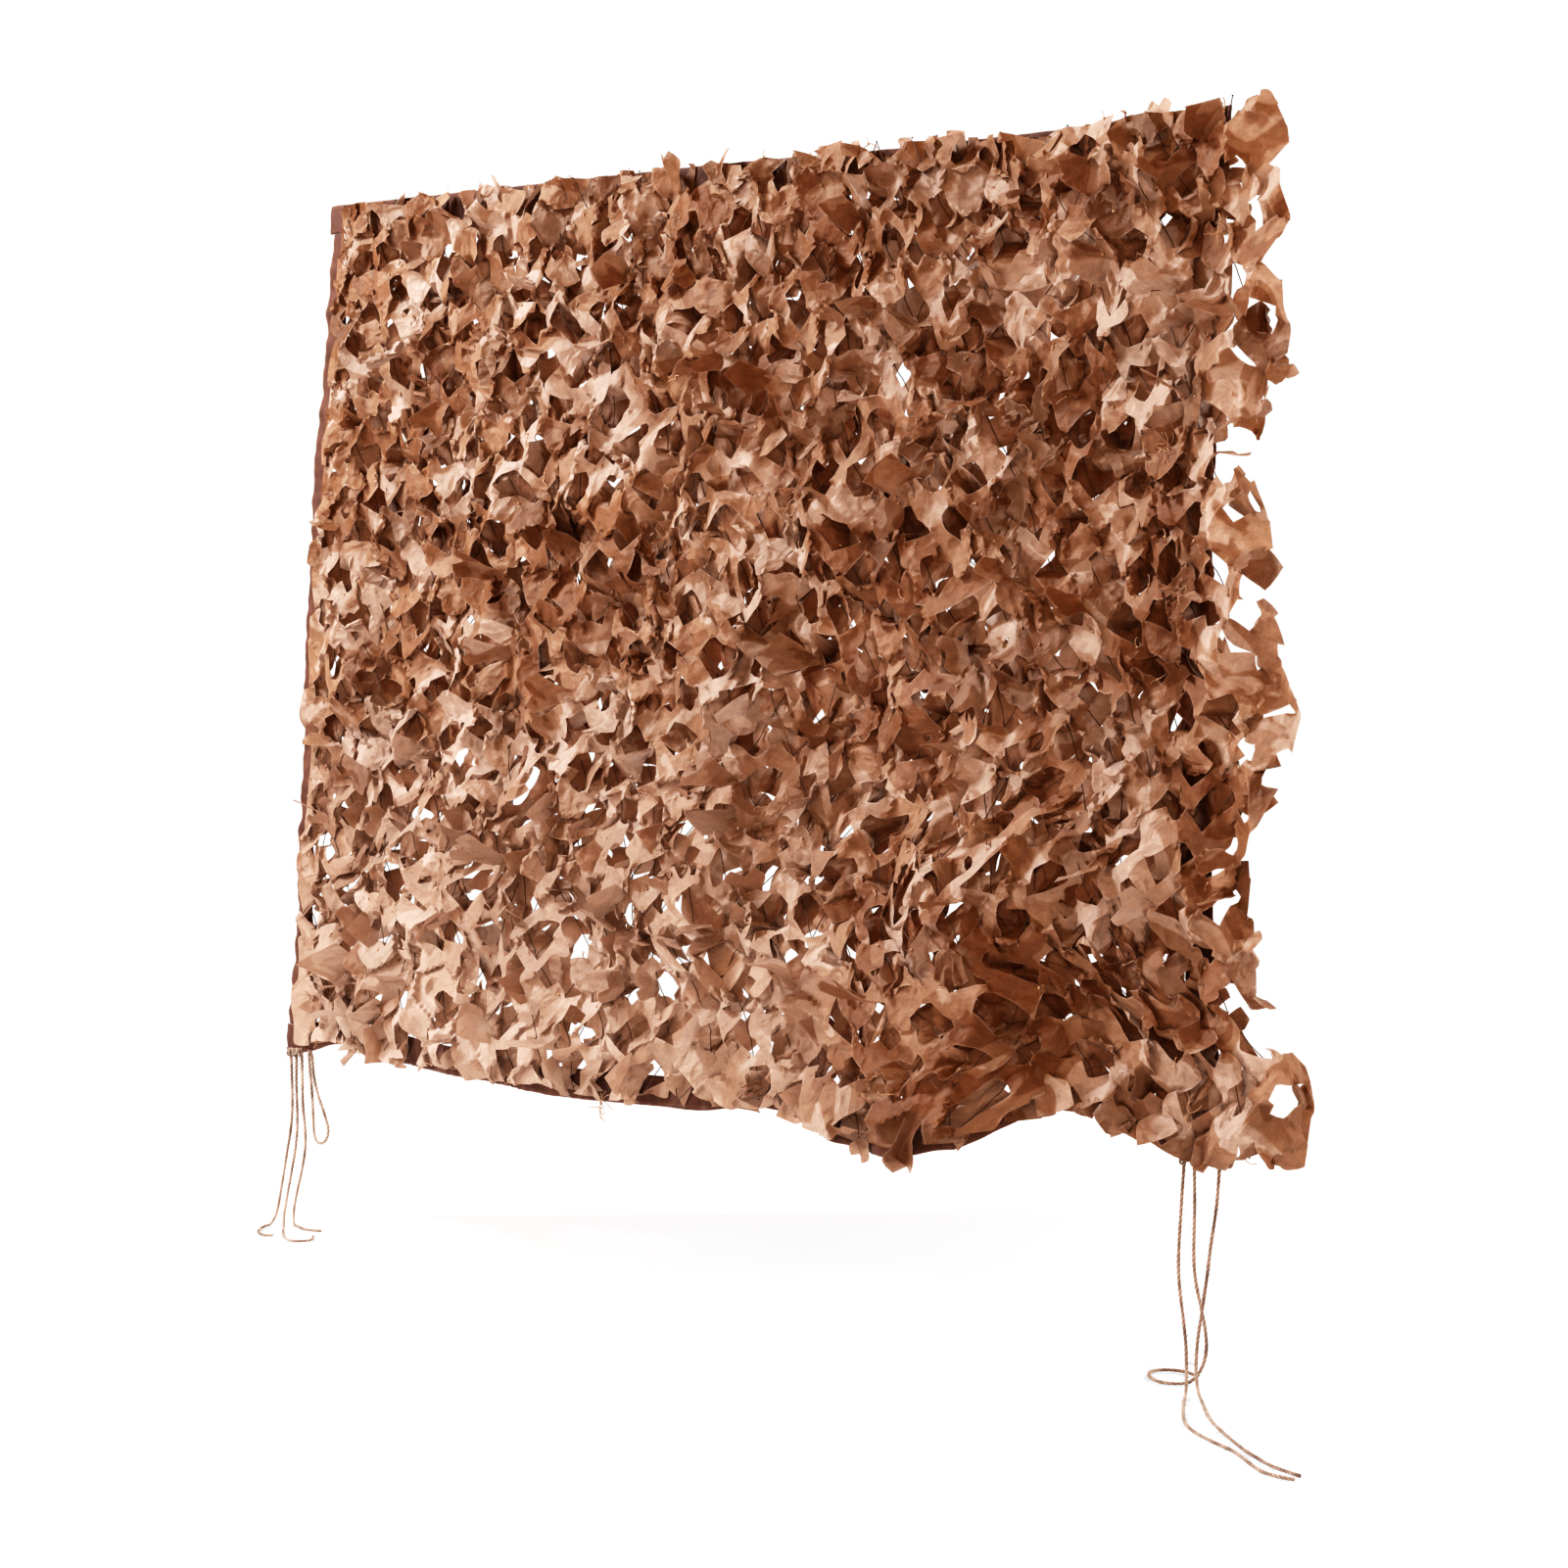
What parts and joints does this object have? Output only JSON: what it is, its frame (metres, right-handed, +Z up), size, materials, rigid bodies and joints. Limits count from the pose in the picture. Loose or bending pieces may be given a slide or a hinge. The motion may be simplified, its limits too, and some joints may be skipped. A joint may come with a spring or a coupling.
{
  "type": "camouflage netting",
  "caption": "Hung leaf-cut camouflage netting in browns and tans on plain border bands, its hem swinging forward, with jute ties at the lower corners.",
  "frame": {"origin": "middle of the netting's top edge, on the plane where it hangs plumb", "axes": "+X across the netting to its right as seen from the front, -Y towards the front that the leaves stand out to, +Z up"},
  "size_m": [2.5069, 0.4396, 1.8335],
  "materials": {
    "leaf_cloth": "thin woven polyester printed in browns and tans, leaf cut, slight sheen",
    "band_cloth": "plain dark brown woven binding, folded and sewn, matt",
    "jute": "twisted natural jute cord, matt and hairy"
  },
  "bodies": {
    "root": {"leaf_cloth": "leaf_cloth", "band_top": "band_cloth", "band_bottom": "band_cloth", "band_left": "band_cloth", "band_right": "band_cloth", "tie_right_outer": "jute", "tie_right_middle": "jute", "tie_right_inner": "jute", "tie_left_outer": "jute", "tie_left_middle": "jute", "tie_left_inner": "jute", "tie_left_loop": "jute"}
  },
  "joints": []
}
